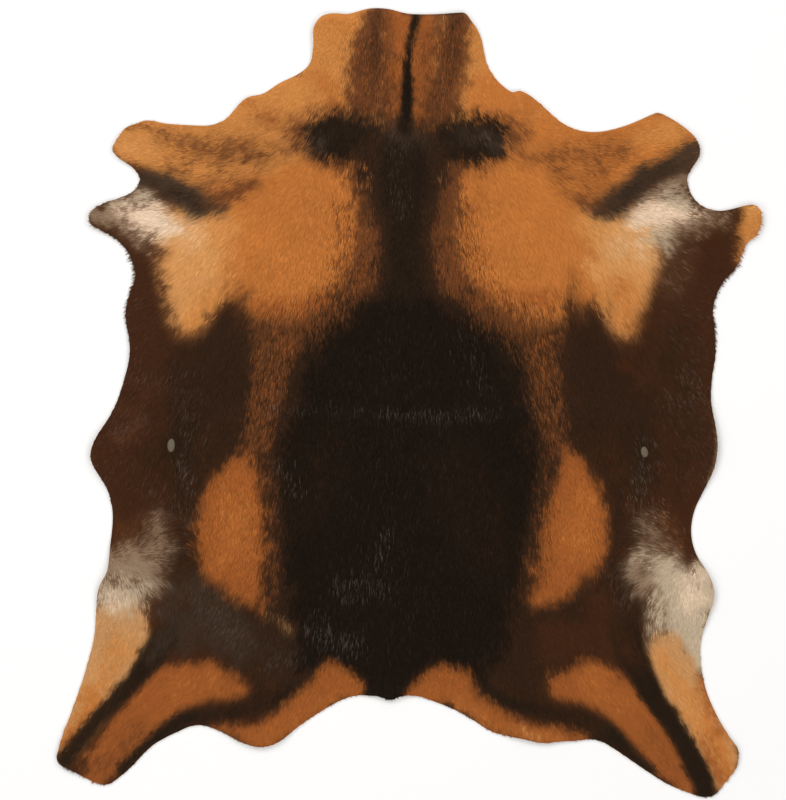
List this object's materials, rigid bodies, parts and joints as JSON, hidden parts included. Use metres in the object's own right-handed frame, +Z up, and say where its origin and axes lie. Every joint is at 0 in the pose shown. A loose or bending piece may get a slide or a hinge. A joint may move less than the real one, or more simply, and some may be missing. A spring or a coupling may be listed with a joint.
{
  "type": "goatskin",
  "caption": "Whole tanned goatskin with its hair on, opened flat with neck, legs and tail stump, softly folded and curled at its rim, to lie on a floor or seat.",
  "frame": {"origin": "on the surface it lies on, under the middle of the skin's box", "axes": "+Y along the back from tail to neck, +X to the right seen from above with the neck at the far end, +Z up, hair side up"},
  "size_m": [0.8024, 0.8994, 0.0094],
  "materials": {
    "hair_on_hide": "short lying goat hair with a soft gloss, tan and near black, on pale tanned skin"
  },
  "bodies": {
    "root": {"goatskin": "hair_on_hide"}
  },
  "joints": []
}
